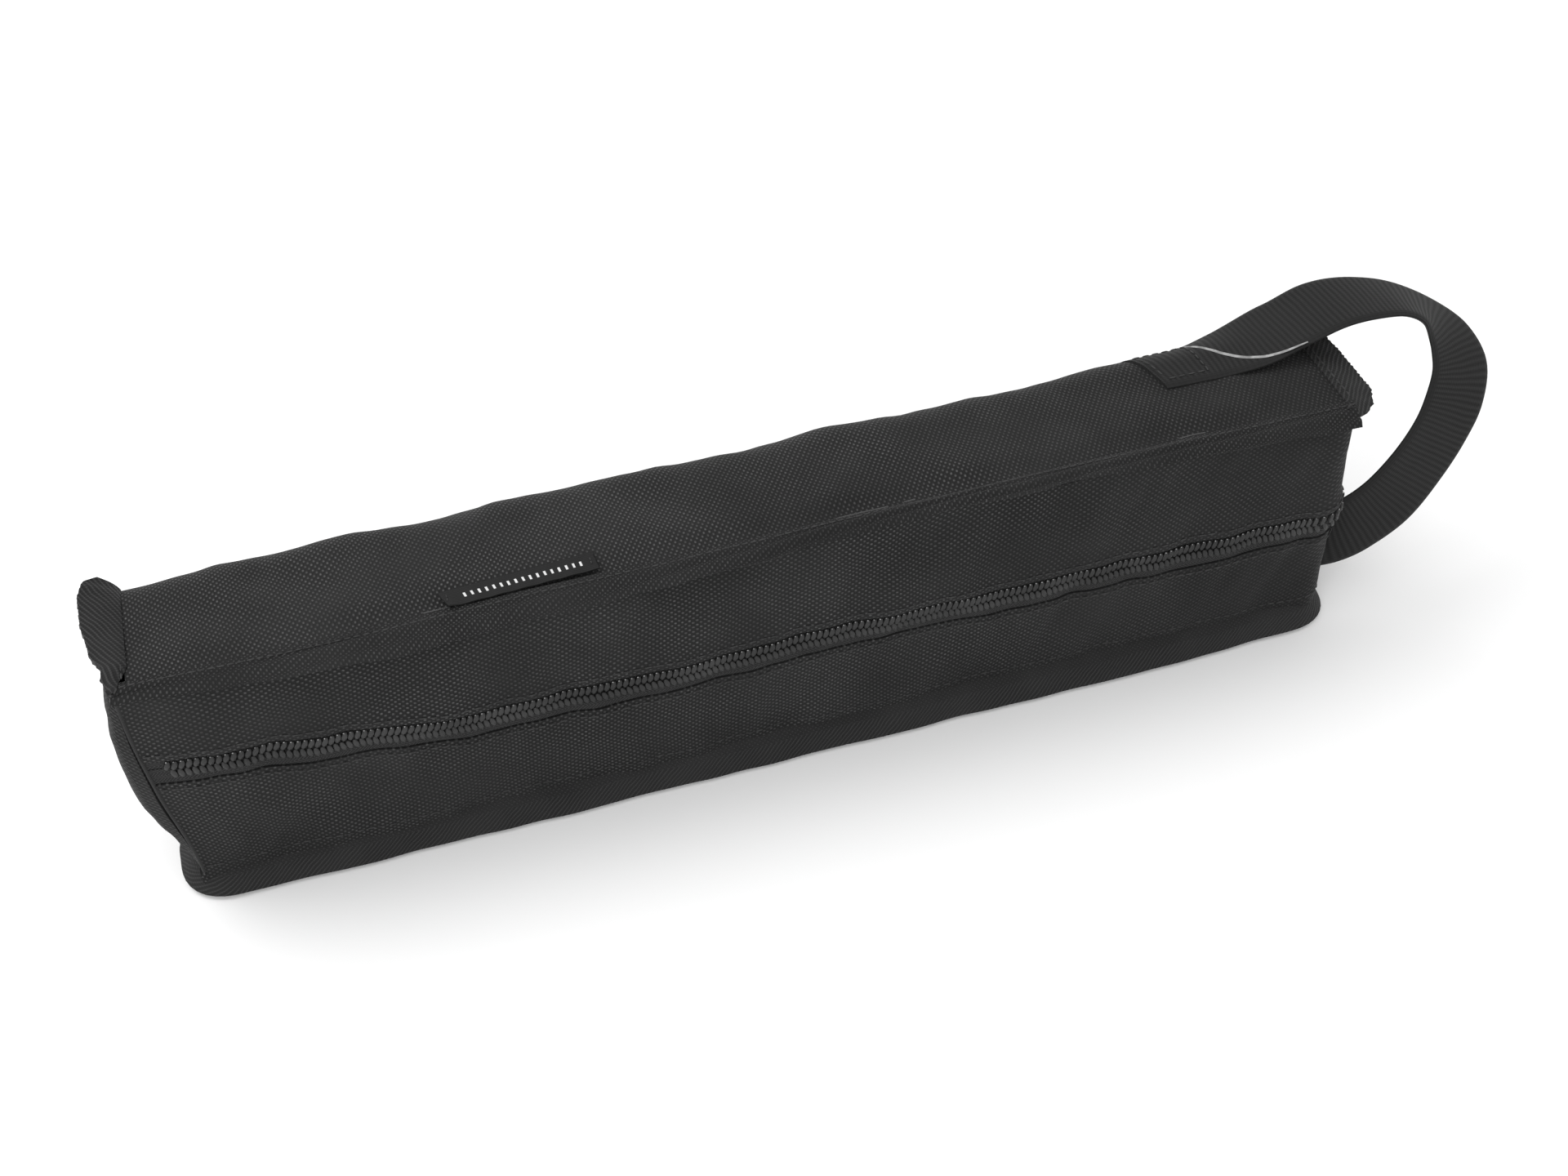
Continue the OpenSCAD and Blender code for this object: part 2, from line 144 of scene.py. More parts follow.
def shell(name, points, uv, thick, look, flip=False):
    # a closed sheet: outer face = points, inner face = points - thick * normal, rims join their borders
    n, m = points.shape[:2]
    normal = gridNormals(points) * (-1 if flip else 1)
    inner = points - normal * (thick if np.isscalar(thick) else thick[..., None])
    index = np.arange(n * m).reshape(n, m)
    a, b, c, d = index[:-1, :-1], index[1:, :-1], index[1:, 1:], index[:-1, 1:]
    outer = np.stack([a, b, c, d], -1).reshape(-1, 4)
    edge = np.concatenate([index[:, 0], index[-1, 1:], index[-2::-1, -1], index[0, -2:0:-1]])
    ahead = np.roll(edge, -1)
    rim = np.stack([ahead, edge, edge + n * m, ahead + n * m], -1)
    faces = np.concatenate([outer, outer[:, ::-1] + n * m, rim])
    if flip:
        faces = faces[:, ::-1]
    everything = np.concatenate([points.reshape(-1, 3), inner.reshape(-1, 3)])
    flat = uv.reshape(-1, 2)
    return putMesh(name, everything, [faces], np.concatenate([flat, flat]), look)


def sweep(name, path, side, up, profile, look):
    # a closed profile carried along a path: point = path + x * side + y * up, with flat ends
    n, m = len(path), len(profile)
    x, y = profile[:, 0][None, :, None], profile[:, 1][None, :, None]
    points = path[:, None] + x * side[:, None] + y * up[:, None]
    index = np.arange(n * m).reshape(n, m)
    after = np.roll(index, -1, axis=1)
    wall = np.stack([index[:-1], index[1:], after[1:], after[:-1]], -1).reshape(-1, 4)
    caps = np.stack([index[0], index[-1][::-1]])
    along = np.concatenate([[0], np.cumsum(np.linalg.norm(np.diff(path, axis=0), axis=1))])
    uv = np.stack(np.broadcast_arrays(along[:, None], profile[:, 0][None]), -1).reshape(-1, 2)
    flat = points.reshape(-1, 3)
    volume = np.einsum("ij,ij->i", flat[wall[:, 0]], np.cross(flat[wall[:, 1]], flat[wall[:, 2]]))
    volume = volume + np.einsum("ij,ij->i", flat[wall[:, 0]], np.cross(flat[wall[:, 2]], flat[wall[:, 3]]))
    for cap in caps:
        middle = flat[cap].mean(axis=0)
        fan = np.einsum("j,ij->i", middle, np.cross(flat[cap], flat[np.roll(cap, -1)]))
        volume = np.append(volume, fan)
    blocks = [wall, caps]
    if volume.sum() < 0:
        blocks = [wall[:, ::-1], caps[:, ::-1]]
    return putMesh(name, flat, blocks, uv, look)


def beads(name, centre, along, up, size, look, sides=6, rings=5, square=2.6):
    # many small rounded rods: length size[0] along, width size[1] across, height size[2] up
    t = np.linspace(-1, 1, rings)
    t = np.sign(t) * np.abs(t) ** 0.7 * 0.985
    radius = (1 - np.abs(t) ** square) ** (1 / square)
    a = np.arange(sides) * 2 * math.pi / sides + math.pi / sides
    shape = np.stack(np.broadcast_arrays(
        t[:, None] * size[0] / 2,
        radius[:, None] * np.cos(a) * size[1] / 2,
        radius[:, None] * np.sin(a) * size[2] / 2), -1).reshape(-1, 3)
    index = np.arange(rings * sides).reshape(rings, sides)
    after = np.roll(index, -1, axis=1)
    wall = np.stack([index[:-1], after[:-1], after[1:], index[1:]], -1).reshape(-1, 4)
    caps = np.stack([index[0][::-1], index[-1]])
    along = unit(along)
    up = unit(up - along * np.sum(up * along, axis=1, keepdims=True))
    across = np.cross(up, along)
    points = (centre[:, None] + shape[None, :, 0, None] * along[:, None]
              + shape[None, :, 1, None] * across[:, None] + shape[None, :, 2, None] * up[:, None])
    shift = (np.arange(len(centre)) * len(shape))[:, None, None]
    wall = (wall[None, :, ::-1] + shift).reshape(-1, 4)
    caps = (caps[None, :, ::-1] + shift).reshape(-1, sides)
    uv = np.broadcast_to(shape[None, :, :2], (len(centre), len(shape), 2)).reshape(-1, 2)
    return putMesh(name, points.reshape(-1, 3), [wall, caps], uv, look)


def join(points, places, at):
    # points of a line at the given lengths along it
    return np.stack([np.interp(at, places, points[:, k]) for k in range(points.shape[1])], -1)


class Wire:
    # a shader socket that takes + - * / and gives Math nodes
    def __init__(self, look, socket):
        self.look, self.socket = look, socket

    def maths(self, operation, *values):
        inputs = {k: v for k, v in enumerate(values)}
        return self.look.node("ShaderNodeMath", {"operation": operation}, inputs)

    def __add__(self, other):
        return self.maths("ADD", self, other)

    def __radd__(self, other):
        return self.maths("ADD", other, self)

    def __sub__(self, other):
        return self.maths("SUBTRACT", self, other)

    def __rsub__(self, other):
        return self.maths("SUBTRACT", other, self)

    def __mul__(self, other):
        return self.maths("MULTIPLY", self, other)

    def __rmul__(self, other):
        return self.maths("MULTIPLY", other, self)

    def __truediv__(self, other):
        return self.maths("DIVIDE", self, other)

    def __rtruediv__(self, other):
        return self.maths("DIVIDE", other, self)

    def __pow__(self, other):
        return self.maths("POWER", self, other)

    def wave(self):
        return self.maths("SINE", self)

    def size(self):
        return self.maths("ABSOLUTE", self)

    def part(self):
        return self.maths("FRACT", self)

    def between(self, low, high):
        # 0 below low, 1 above high
        settings = {"clamp": True, "interpolation_type": "SMOOTHSTEP"}
        inputs = {"Value": self, "From Min": low, "From Max": high}
        return self.look.node("ShaderNodeMapRange", settings, inputs)


class Look:
    # one material: a Principled shader and the nodes that feed it
    def __init__(self, name, **fixed):
        self.material = bpy.data.materials.new(name)
        self.material.use_nodes = True
        self.tree = self.material.node_tree
        self.shader = self.tree.nodes["Principled BSDF"]
        for socket, value in fixed.items():
            self.set(socket.replace("_", " "), value)

    def feed(self, socket, value):
        if isinstance(value, Wire):
            self.tree.links.new(value.socket, socket)
        else:
            socket.default_value = value

    def node(self, kind, settings=None, inputs=None, out=0):
        made = self.tree.nodes.new(kind)
        for key, value in (settings or {}).items():
            setattr(made, key, value)
        for key, value in (inputs or {}).items():
            self.feed(made.inputs[key], value)
        return Wire(self, made.outputs[out])

    def set(self, socket, value):
        self.feed(self.shader.inputs[socket], value)

    def surface(self):
        # the piece's own map, in millimetres: along, across
        place = self.node("ShaderNodeUVMap", {"uv_map": "surface"})
        made = self.tree.nodes.new("ShaderNodeSeparateXYZ")
        self.feed(made.inputs[0], place)
        return place, Wire(self, made.outputs[0]), Wire(self, made.outputs[1])

    def room(self):
        return self.node("ShaderNodeTexCoord", out=3)

    def noise(self, place, scale, detail=2.0, roughness=0.5):
        inputs = {"Vector": place, "Scale": scale, "Detail": detail, "Roughness": roughness}
        return self.node("ShaderNodeTexNoise", None, inputs)

    def blend(self, factor, first, second):
        made = self.tree.nodes.new("ShaderNodeMix")
        made.data_type = "RGBA"
        self.feed(made.inputs[0], factor)
        self.feed(made.inputs[6], first)
        self.feed(made.inputs[7], second)
        return Wire(self, made.outputs[2])

    def bump(self, height, strength, distance):
        settings = {"Strength": strength, "Distance": distance * mm, "Height": height}
        self.set("Normal", self.node("ShaderNodeBump", None, settings))


def grey(value, warm=0.0):
    return (value * (1 + warm), value, value * (1 - warm), 1)


# coarse packcloth: checks of floats, a painted highlight fleck on each float (light sets its colour), uneven
# random tone, and patches where the weave and its painted highlights show more or less; fade weakens them
# along the piece
def packcloth(name, dark, light, along, across, turn, fade=(400, 500, 0.5)):
    look = Look(name, Roughness=0.72, Sheen_Weight=0.035, Sheen_Roughness=0.4)
    look.shader.inputs["Specular IOR Level"].default_value = 0.2
    place, u, v = look.surface()
    c, s = math.cos(math.radians(turn)), math.sin(math.radians(turn))
    drift = look.noise(place, 0.035, 2.0)
    uu = (u * c + v * s) + drift * 3.0
    vv = (v * c - u * s) + drift * 2.4
    columns = (uu * (2 * math.pi / along)).wave()
    rows = (vv * (2 * math.pi / across)).wave()
    checks = columns * rows
    floats = checks.between(0.12, 0.95)
    speck = look.noise(place, 0.9, 1.0).between(0.38, 0.68)
    threads = (vv * (2 * math.pi / (across / 6))).wave() * 0.5 + 0.5
    patch = look.noise(place, 0.02, 3.0, 0.6).between(0.3, 0.72)
    fibre = look.noise(place, 4.5, 2.0, 0.6)
    # how strongly the weave shows: scales the painted float highlights and the bump; fade weakens both along
    # the piece
    shown = look.noise(place, 0.03, 3.0, 0.55).between(0.28, 0.7) * 0.75 + 0.38
    shown = shown * (1 - u.between(fade[0], fade[1]) * fade[2])
    base = look.blend(patch, grey(dark * 0.7), grey(dark * 1.3))
    # painted highlight: the lightened fleck colour that the floats blend to
    floatHighlight = look.blend(speck, grey(light * 0.55), grey(light))
    colour = look.blend(floats * shown * (0.45 + threads * 0.25 + fibre * 0.5), base, floatHighlight)
    look.set("Base Color", colour)
    look.set("Roughness", 0.8 - floats * 0.22 + fibre * 0.06)
    look.bump((checks * 0.5 + threads * floats * 0.16) * (0.5 + shown * 0.5) + fibre * 0.2, 0.75, 0.27)
    return look


# folded binding tape: fine diagonal ridges with lighter colour on their crests
def twillTape(name, dark, light, pitch, slope, zigzag=0.0, hem=0.0):
    look = Look(name, Roughness=0.75, Sheen_Weight=0.03, Sheen_Roughness=0.4)
    look.shader.inputs["Specular IOR Level"].default_value = 0.2
    place, u, v = look.surface()
    drift = look.noise(place, 0.12, 2.0)
    across = v if zigzag == 0 else ((v / zigzag).part() - 0.5).size() * (2 * zigzag)
    ridges = ((u * math.cos(slope) + across * math.sin(slope) + drift * 1.6) * (2 * math.pi / pitch)).wave()
    cross = ((u * math.sin(slope) - v * math.cos(slope)) * (2 * math.pi / (pitch * 0.62))).wave()
    fibre = look.noise(place, 3.5, 2.0, 0.6)
    crest = ridges.between(-0.1, 1.0) * (0.55 + cross * 0.2 + fibre * 0.5)
    if hem:
        # the upper part of the tape is covered by the hem of the panel's cloth
        low = v.between(hem - 0.5, hem + 0.5)
        flecks = ((u * (2 * math.pi / 1.5)).wave() * (v * (2 * math.pi / 1.3)).wave()).between(0.1, 0.95)
        crest = crest * low + flecks * (1 - low) * (0.4 + fibre * 0.6)
        ridges = ridges * low + flecks * (1 - low)
    patch = look.noise(place, 0.05, 2.0).between(0.3, 0.7)
    ground = look.blend(patch, grey(dark * 0.8), grey(dark * 1.15))
    look.set("Base Color", look.blend(crest, ground, grey(light)))
    look.set("Roughness", 0.82 - crest * 0.16)
    look.bump(ridges * 0.5 + cross * 0.16 + fibre * 0.2, 0.7, 0.26)
    return look


# webbing: ribs across the width, flat woven selvedges, fine warp threads
def webbingLook(name, dark, light, pitch, halfWidth):
    look = Look(name, Roughness=0.7, Sheen_Weight=0.03, Sheen_Roughness=0.4)
    look.shader.inputs["Specular IOR Level"].default_value = 0.2
    place, u, v = look.surface()
    edge = v.size().between(halfWidth - 2.2, halfWidth - 1.6)
    drift = look.noise(place, 0.1, 1.0)
    ribs = ((u + drift * 0.8) * (2 * math.pi / pitch)).wave()
    ribs = ribs * (1 - edge * 0.8)
    warp = (v * (2 * math.pi / 0.8)).wave()
    fibre = look.noise(place, 3.0, 2.0, 0.6)
    crest = (ribs * 0.5 + 0.5) * (0.45 + fibre * 0.6) + warp * 0.08
    patch = look.noise(place, 0.04, 2.0).between(0.3, 0.7)
    ground = look.blend(patch, grey(dark * 0.85), grey(dark * 1.15))
    look.set("Base Color", look.blend(crest, ground, grey(light)))
    look.set("Roughness", 0.8 - crest * 0.14)
    look.bump(ribs * 0.5 + warp * 0.14 + fibre * 0.18, 0.6, 0.2)
    return look


# plain fine cloth for linings and seams
def fineCloth(name, dark, light, pitch):
    look = Look(name, Roughness=0.85, Sheen_Weight=0.03, Sheen_Roughness=0.5)
    place, u, v = look.surface()
    weave = (u * (2 * math.pi / pitch)).wave() * (v * (2 * math.pi / pitch)).wave()
    patch = look.noise(place, 0.03, 3.0, 0.6)
    fibre = look.noise(place, 3.0, 2.0)
    look.set("Base Color", look.blend(weave.between(-0.6, 1.0) * 0.6 + fibre * 0.4, grey(dark), grey(light)))
    look.set("Roughness", 0.78 + patch * 0.15)
    look.bump(weave * 0.5 + fibre * 0.3, 0.5, 0.16)
    return look


# nylon zip coil: smooth grey monofilament, darker in its hollows
def coilLook(name, dark, light):
    look = Look(name, Roughness=0.5)
    look.shader.inputs["Specular IOR Level"].default_value = 0.3
    place = look.room()
    grain = look.noise(place, 900.0, 2.0)
    patch = look.noise(place, 60.0, 1.0)
    look.set("Base Color", look.blend(patch.between(0.3, 0.7), grey(dark), grey(light)))
    look.set("Roughness", 0.36 + grain * 0.2)
    look.bump(grain, 0.3, 0.05)
    return look


def threadLook(name, dark, light):
    look = Look(name, Roughness=0.7, Sheen_Weight=0.03)
    _, u, v = look.surface()
    twist = ((u + v * 0.8) * (2 * math.pi / 0.45)).wave()
    patch = look.noise(look.room(), 400.0, 1.0)
    look.set("Base Color", look.blend(patch.between(0.35, 0.65), grey(dark), grey(light)))
    look.bump(twist, 0.5, 0.06)
    return look


def metalLook(name):
    look = Look(name, Metallic=0.85, Roughness=0.4)
    place = look.room()
    grain = look.noise(place, 1400.0, 3.0)
    rub = look.noise(place, 170.0, 2.0).between(0.45, 0.75)
    look.set("Base Color", look.blend(rub, grey(0.06), grey(0.16)))
    look.set("Roughness", 0.34 + grain * 0.24)
    look.bump(grain, 0.25, 0.04)
    return look


# the label: satin tape with a row of plain light ticks woven in
def labelLook(name, dark, light):
    look = Look(name, Roughness=0.6)
    look.shader.inputs["Specular IOR Level"].default_value = 0.15
    place, u, v = look.surface()
    satin = (v * (2 * math.pi / 0.5)).wave() * 0.5 + 0.5
    fibre = look.noise(place, 3.0, 2.0)
    tick = (1 - ((u / 1.9).part() - 0.5).size().between(0.13, 0.18)) * (1 - v.size().between(0.6, 0.7))
    tick = tick * u.between(-15.2, -15.0) * (1 - u.between(17.0, 17.2))
    ground = look.blend(satin * 0.6 + fibre * 0.4, grey(dark * 0.7), grey(dark * 1.5))
    look.set("Base Color", look.blend(tick, ground, grey(light)))
    look.set("Roughness", 0.5 + fibre * 0.15)
    look.bump(satin * 0.4 + tick * 0.8 + fibre * 0.2, 0.5, 0.12)
    return look


# each packcloth copy sets its own painted float highlight: its strength (light) and where it fades (fade);
# the end panels get the weakest
topCloth = packcloth("top_packcloth", 0.0105, 0.088, 1.55, 2.0, 4.0, (20, 150, 0.45))
bandCloth = packcloth("band_packcloth", 0.0115, 0.09, 2.0, 1.5, -4.0, (190, 320, 0.62))
endCloth = packcloth("end_packcloth", 0.0125, 0.035, 2.0, 1.5, 0.0)
foldedCloth = packcloth("folded_packcloth", 0.012, 0.07, 1.35, 1.2, 14.0)
bindingTape = twillTape("binding_twill", 0.015, 0.03, 0.95, 0.85, 0.0, 5.0)
earTape = twillTape("ear_twill", 0.013, 0.036, 1.2, -0.95)
zipTape = twillTape("zip_tape_twill", 0.013, 0.036, 0.8, 0.6, 2.4)
strapCloth = webbingLook("strap_webbing", 0.0072, 0.015, 1.6, 12.5)
liningCloth = fineCloth("lining_cloth", 0.03, 0.075, 0.5)
# darker than the panels' cloth: the seam roll's colour also paints the shade in the seam's crevice
seamCloth = fineCloth("seam_cloth", 0.006, 0.012, 0.6)
coilNylon = coilLook("coil_nylon", 0.016, 0.03)
sewingThread = threadLook("sewing_thread", 0.009, 0.022)
lightThread = threadLook("light_thread", 0.16, 0.34)
darkMetal = metalLook("dark_metal")
wovenLabel = labelLook("label_satin", 0.008, 0.6)
print("materials made")


def topOf(y):
    # height of the case's outline at depth y: flat, then a quarter round down the back
    d = np.clip(y - (case["halfDepth"] - case["backEdge"]), 0, case["backEdge"])
    return case["height"] - case["backEdge"] + np.sqrt(case["backEdge"] ** 2 - d ** 2)


def reach(y, frontRadius):
    # half length of the case at depth y: straight ends with a quarter round at each corner
    front = np.clip(-(y + case["halfDepth"] - frontRadius), 0, frontRadius)
    back = np.clip(y - (case["halfDepth"] - case["backCorner"]), 0, case["backCorner"])
    lost = frontRadius - np.sqrt(frontRadius ** 2 - front ** 2)
    return case["halfLength"] - lost - (case["backCorner"] - np.sqrt(case["backCorner"] ** 2 - back ** 2))


# height of the zip's middle along the front and round the right corner
zipRun = {
    "stops": [(0, 50.5), (18, 49.8), (48, 46), (80, 42.4), (112, 41.2), (150, 41.6), (180, 42.4), (200, 42),
              (228, 40.8), (262, 40.6), (295, 40.2), (320, 40.6), (340, 42), (354, 43), (400, 43)],
    "slit": 0.15,
    "upperEdge": 3.3,
    "lowerEdge": 5.8,
}


def frontLine(r, count=228):
    # plan of the front wall: left seam, front, right corner of radius r, right end up to the zip's stop
    l, d = case["halfLength"], case["halfDepth"]
    line = np.concatenate([[[-l, -d]], arc(l - r, r - d, r, -90, 0), [[l, 14.6]]])
    return resample(line, 1, count)


def lineNormals(line):
    # outward normals of a plan line that runs with the case on its left
    t = unit(np.gradient(line, axis=0))
    return np.stack([t[:, 1], -t[:, 0]], -1)


def wallPlan(z):
    # plan points and outward normals of the front wall, its right corner rounder low down than at the top
    w = smoothStep(40, 78, z)[..., None]
    place = line[:, None] * (1 - w) + topLine[:, None] * w
    return place, unit(normals[:, None] * (1 - w) + topNormals[:, None] * w)


def leanOf(z):
    # how far the left end stands out to the left at height z: outwards at the top, inwards at the foot
    return case["lean"] * smoothStep(20, 70, z) - case["lean"] * (1 - smoothStep(6, 42, z))


def frontWall(z):
    # the front wall: plan point + outward normal * swell; it leans out at the top left and in at the foot
    top, s = case["height"], along[:, None] + 0 * z
    place, out = wallPlan(z)
    rise = z / top
    swell = 1.6 * np.sin(math.pi * np.clip(rise, 0, 1)) + 0.6 * ripple(s, z * 1.3, 4)
    swell = swell + 0.32 * ripple(s * 1.3, z, 5, 30, 9)
    swell = swell + 1.2 * hump(s, 60, 26) * hump(z, 60, 14) + 0.9 * hump(s, 205, 40) * hump(z, 50, 16)
    swell = swell - 1.0 * hump(s, 215, 16) * hump(z, 26, 12) - 0.8 * hump(s, 300, 14) * hump(z, 58, 14)
    swell = swell * smoothStep(0, 12, s) * (0.25 + 0.75 * smoothStep(0, 14, top - z) * smoothStep(0, 14, z))
    lean = leanOf(z) * (1 - smoothStep(0, 34, s))
    swell = swell + 2.6 * hump(s, 328, 8) * (0.65 + 0.35 * smoothStep(34, 46, z))
    place = place + out * swell[..., None]
    return np.stack([place[..., 0] - lean, place[..., 1], z], -1)


def halves(n, line):
    # the two halves of a front piece: left of the middle and right of it, sharing one column
    middle = int(np.argmin(np.abs(line[:, 0]) + 1e3 * (line[:, 1] > -22)))
    return (("left", slice(0, middle + 1), -1), ("right", slice(middle, n), 1))


def bendWith(piece, side):
    # meant to be sewn to the case past the flap's ends and free with the flap in the middle; here it only
    # bakes the piece's transform, and a, b go unused
    a, b = side * case["flapStart"] * mm, side * case["flapFull"] * mm
    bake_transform(piece)


line, along = frontLine(case["rightCorner"])
topLine, _ = frontLine(case["topCorner"])
normals, topNormals = lineNormals(line), lineNormals(topLine)
zipHeight = curve(zipRun["stops"], along)


def wallBand(low, high, count, push=0.0):
    # part of the front wall between two heights that may vary along it
    t = np.linspace(0, 1, count)
    z = low[:, None] * (1 - t) + high[:, None] * t
    points = frontWall(z)
    out = push if np.isscalar(push) else push(z)
    points[..., :2] += wallPlan(z)[1] * np.asarray(out)[..., None]
    uv = np.stack(np.broadcast_arrays(along[:, None], z), -1)
    return points, uv


# the two long bands either side of the zip
bands = {
    "top": 79.2,
    "bottom": 1.6,
    "foldOut": 0.7,
    "foldReach": 2.2,
    "upperFoldBack": 1.6,
    "lowerFoldBack": 1.2,
    "lowerFold": 0.4,
    "rows": 26,
}


def makeBands():
    flat = 0 * along
    upperLow = zipHeight + zipRun["upperEdge"]
    lowerHigh = zipHeight - zipRun["lowerEdge"]
    # each band bulges a little just behind its folded edge
    upperFold, lowerFold = upperLow + bands["upperFoldBack"], lowerHigh - bands["lowerFoldBack"]

    def upperPush(z):
        return bands["foldOut"] * hump(z, upperFold[:, None], bands["foldReach"])

    def lowerPush(z):
        return bands["lowerFold"] * bands["foldOut"] * hump(z, lowerFold[:, None], bands["foldReach"])

    upper = wallBand(upperLow, flat + bands["top"], bands["rows"], upperPush)
    lower = wallBand(flat + bands["bottom"], lowerHigh, bands["rows"], lowerPush)
    for flap, (points, uv) in (("upper", upper), ("lower", lower)):
        for half, cut, side in halves(len(line), line):
            outer = shell(f"{flap}_band_{half}", points[cut], uv[cut], case["wall"],
                          bandCloth)
            normal = gridNormals(points)[cut]
            deep = points[cut] - normal * (case["wall"] + case["liningGap"])
            inner = shell(f"{flap}_band_lining_{half}", deep, uv[cut], case["liningWall"],
                          liningCloth)
            if half == "left":
                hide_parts(f"{flap}_band", f"{flap}_band_foam", "left_corner_bands")
                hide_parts(f"{flap}_band_lining", "left_corner_lining")
            else:
                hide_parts(f"{flap}_band", f"{flap}_band_foam", f"right_corner_{flap}_band")
                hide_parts(f"{flap}_band_lining", "right_corner_lining")
            bendWith(outer, side)
            bendWith(inner, side)


makeBands()
print("bands made")

# the zip: two tapes, two rows of coil loops and a light row of stitches along the upper coil
zipper = {
    "tapeBack": -0.15,
    "tapeThick": 0.5,
    "pitch": 1.69,
    "loop": (3.1, 1.66, 1.4),
    "slant": 0.34,
    "coilOut": 0.4,
    "start": 5.0,
    "dot": (0.42, 0.34, 0.34),
}


def lowerTapeOut(z):
    # the lower tape shows between coil and band: nearly flush there, tucked behind the band below
    drop = (zipHeight[:, None] - z - zipRun["lowerEdge"])
    return -0.15 - 0.85 * smoothStep(-0.5, 0.5, drop)


def makeZip():
    flat = zipHeight
    tapes = {
        "upper": wallBand(flat + zipRun["slit"], flat + 7.5, 8, zipper["tapeBack"]),
        "lower": wallBand(flat - 9.5, flat - zipRun["slit"], 22, lowerTapeOut),
    }
    at = np.arange(zipper["start"], along[-1] - 4.0, zipper["pitch"])
    for flap, direction in (("upper", 1), ("lower", -1)):
        points, uv = tapes[flap]
        for half, cut, side in halves(len(line), line):
            tape = shell(f"{flap}_zip_tape_{half}", points[cut], uv[cut], zipper["tapeThick"],
                         zipTape)
            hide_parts(f"{flap}_zip_tape", "corner_zip_tapes")
            bendWith(tape, side)
        shift = 0.0 if flap == "upper" else zipper["pitch"] / 2
        place, _ = wallBand(flat + direction * 1.45, flat + direction * 1.46, 2, zipper["coilOut"])
        base, _ = wallBand(flat + direction * 1.45, flat + direction * 1.46, 2, 0.0)
        centre = join(place[:, 0], along, at + shift)
        out = unit(join(place[:, 0] - base[:, 0], along, at + shift))
        ahead = unit(join(np.gradient(place[:, 0], axis=0), along, at + shift))
        upward = unit(np.cross(out, ahead))
        upward = upward * np.sign(upward[:, 2:3])
        stroke = upward + ahead * zipper["slant"] * direction
        front = len(line) // 2 + 20
        middle = np.interp(0, line[:front, 0], along[:front])
        for half, side in (("left", -1), ("right", 1)):
            keep = (at < middle) if side < 0 else (at >= middle)
            coil = beads(f"{flap}_zip_coil_{half}", centre[keep], stroke[keep], out[keep], zipper["loop"],
                         coilNylon, square=3.2)
            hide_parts(f"{flap}_zip_coil", "corner_zip_coils")
            bendWith(coil, side)
            if flap == "upper":
                spot = centre[keep] + upward[keep] * 1.55 + out[keep] * 0.35
                dots = beads(f"upper_zip_stitches_{half}", spot, ahead[keep], out[keep], zipper["dot"],
                             lightThread, sides=5, rings=4)
                bendWith(dots, side)


makeZip()
print("zip made")


# the padded shell that wraps over the top, down the back and under the bottom
def shellLine(step=2.0):
    # profile of the wrap seen from the left end: y, z
    l, h, r, e = case["halfDepth"], case["height"], case["backEdge"], case["bottomEdge"]
    return resample(np.concatenate([
        [[-l + 0.3, h - 0.3]], arc(l - r, h - r, r, 90, 0), arc(l - r, r, r, 0, -90),
        arc(e - l, e, e, -90, -180, 6), [[-l, 7.6]]]), step)


wrap = {
    "columns": 166,
    "topSwell": 1.1,
    "backSwell": 1.8,
}


def makeWrap():
    profile, t = shellLine()
    n = wrap["columns"]
    s = np.linspace(-1, 1, n)
    s = np.sin(s * math.pi / 2) * 0.25 + s * 0.75
    rounding = np.where(profile[:, 1] > case["height"] / 2, case["topCorner"], case["rightCorner"])
    left, right = reach(profile[:, 0], case["leftCorner"]), reach(profile[:, 0], rounding)
    x = np.where(s[:, None] < 0, s[:, None] * left, s[:, None] * right)
    tangent = unit(np.gradient(profile, axis=0))
    out = np.stack([-tangent[:, 1], tangent[:, 0]], -1)
    y, z = profile[:, 0] + 0 * x, profile[:, 1] + 0 * x
    ends = smoothStep(0, 26, case["halfLength"] - np.abs(x))
    top = hump(t, 22, 20) * wrap["topSwell"] + hump(t, 80, 34) * wrap["backSwell"]
    floor = smoothStep(104, 120, t)
    rough = 0.5 * ripple(x, t[None, :] * 1.1, 11) + 0.28 * ripple(x, t[None, :] * 1.2, 12, 34, 9)
    edge = smoothStep(0, 9, t) * (1 - floor)
    swell = (top + rough) * edge * ends - 0.15 * floor
    swell = swell - 0.9 * hump(t, 4, 3.5) * ends * (0.6 + 0.4 * np.sin(x / 17.0))
    points = np.stack([x, y + out[:, 0] * swell, z + out[:, 1] * swell], -1)
    uv = np.stack(np.broadcast_arrays(x, t[None, :]), -1)
    outer = shell("main_panel_skin", points, uv, case["wall"], topCloth)
    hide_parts("main_panel", "top_foam", "back_foam", "bottom_foam")
    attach(outer, "case")
    deep = points - gridNormals(points) * (case["wall"] + case["liningGap"])
    inset = 1 - 3.4 / case["halfLength"]
    deep[..., 0] *= inset
    inner = shell("main_panel_lining", deep, uv, case["liningWall"], liningCloth)
    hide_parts("main_lining")
    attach(inner, "case")


makeWrap()
print("wrap made")

# the two padded ends; the left one swells out past its front seam
endPanels = {
    "leftSwell": [(0, 0.3), (8, 1.5), (14, 3), (20, 5), (27, 7.2), (34, 8.2), (47, 7.8), (58, 7),
                  (68, 5.2), (80, 3)],
    "rows": 40,
}


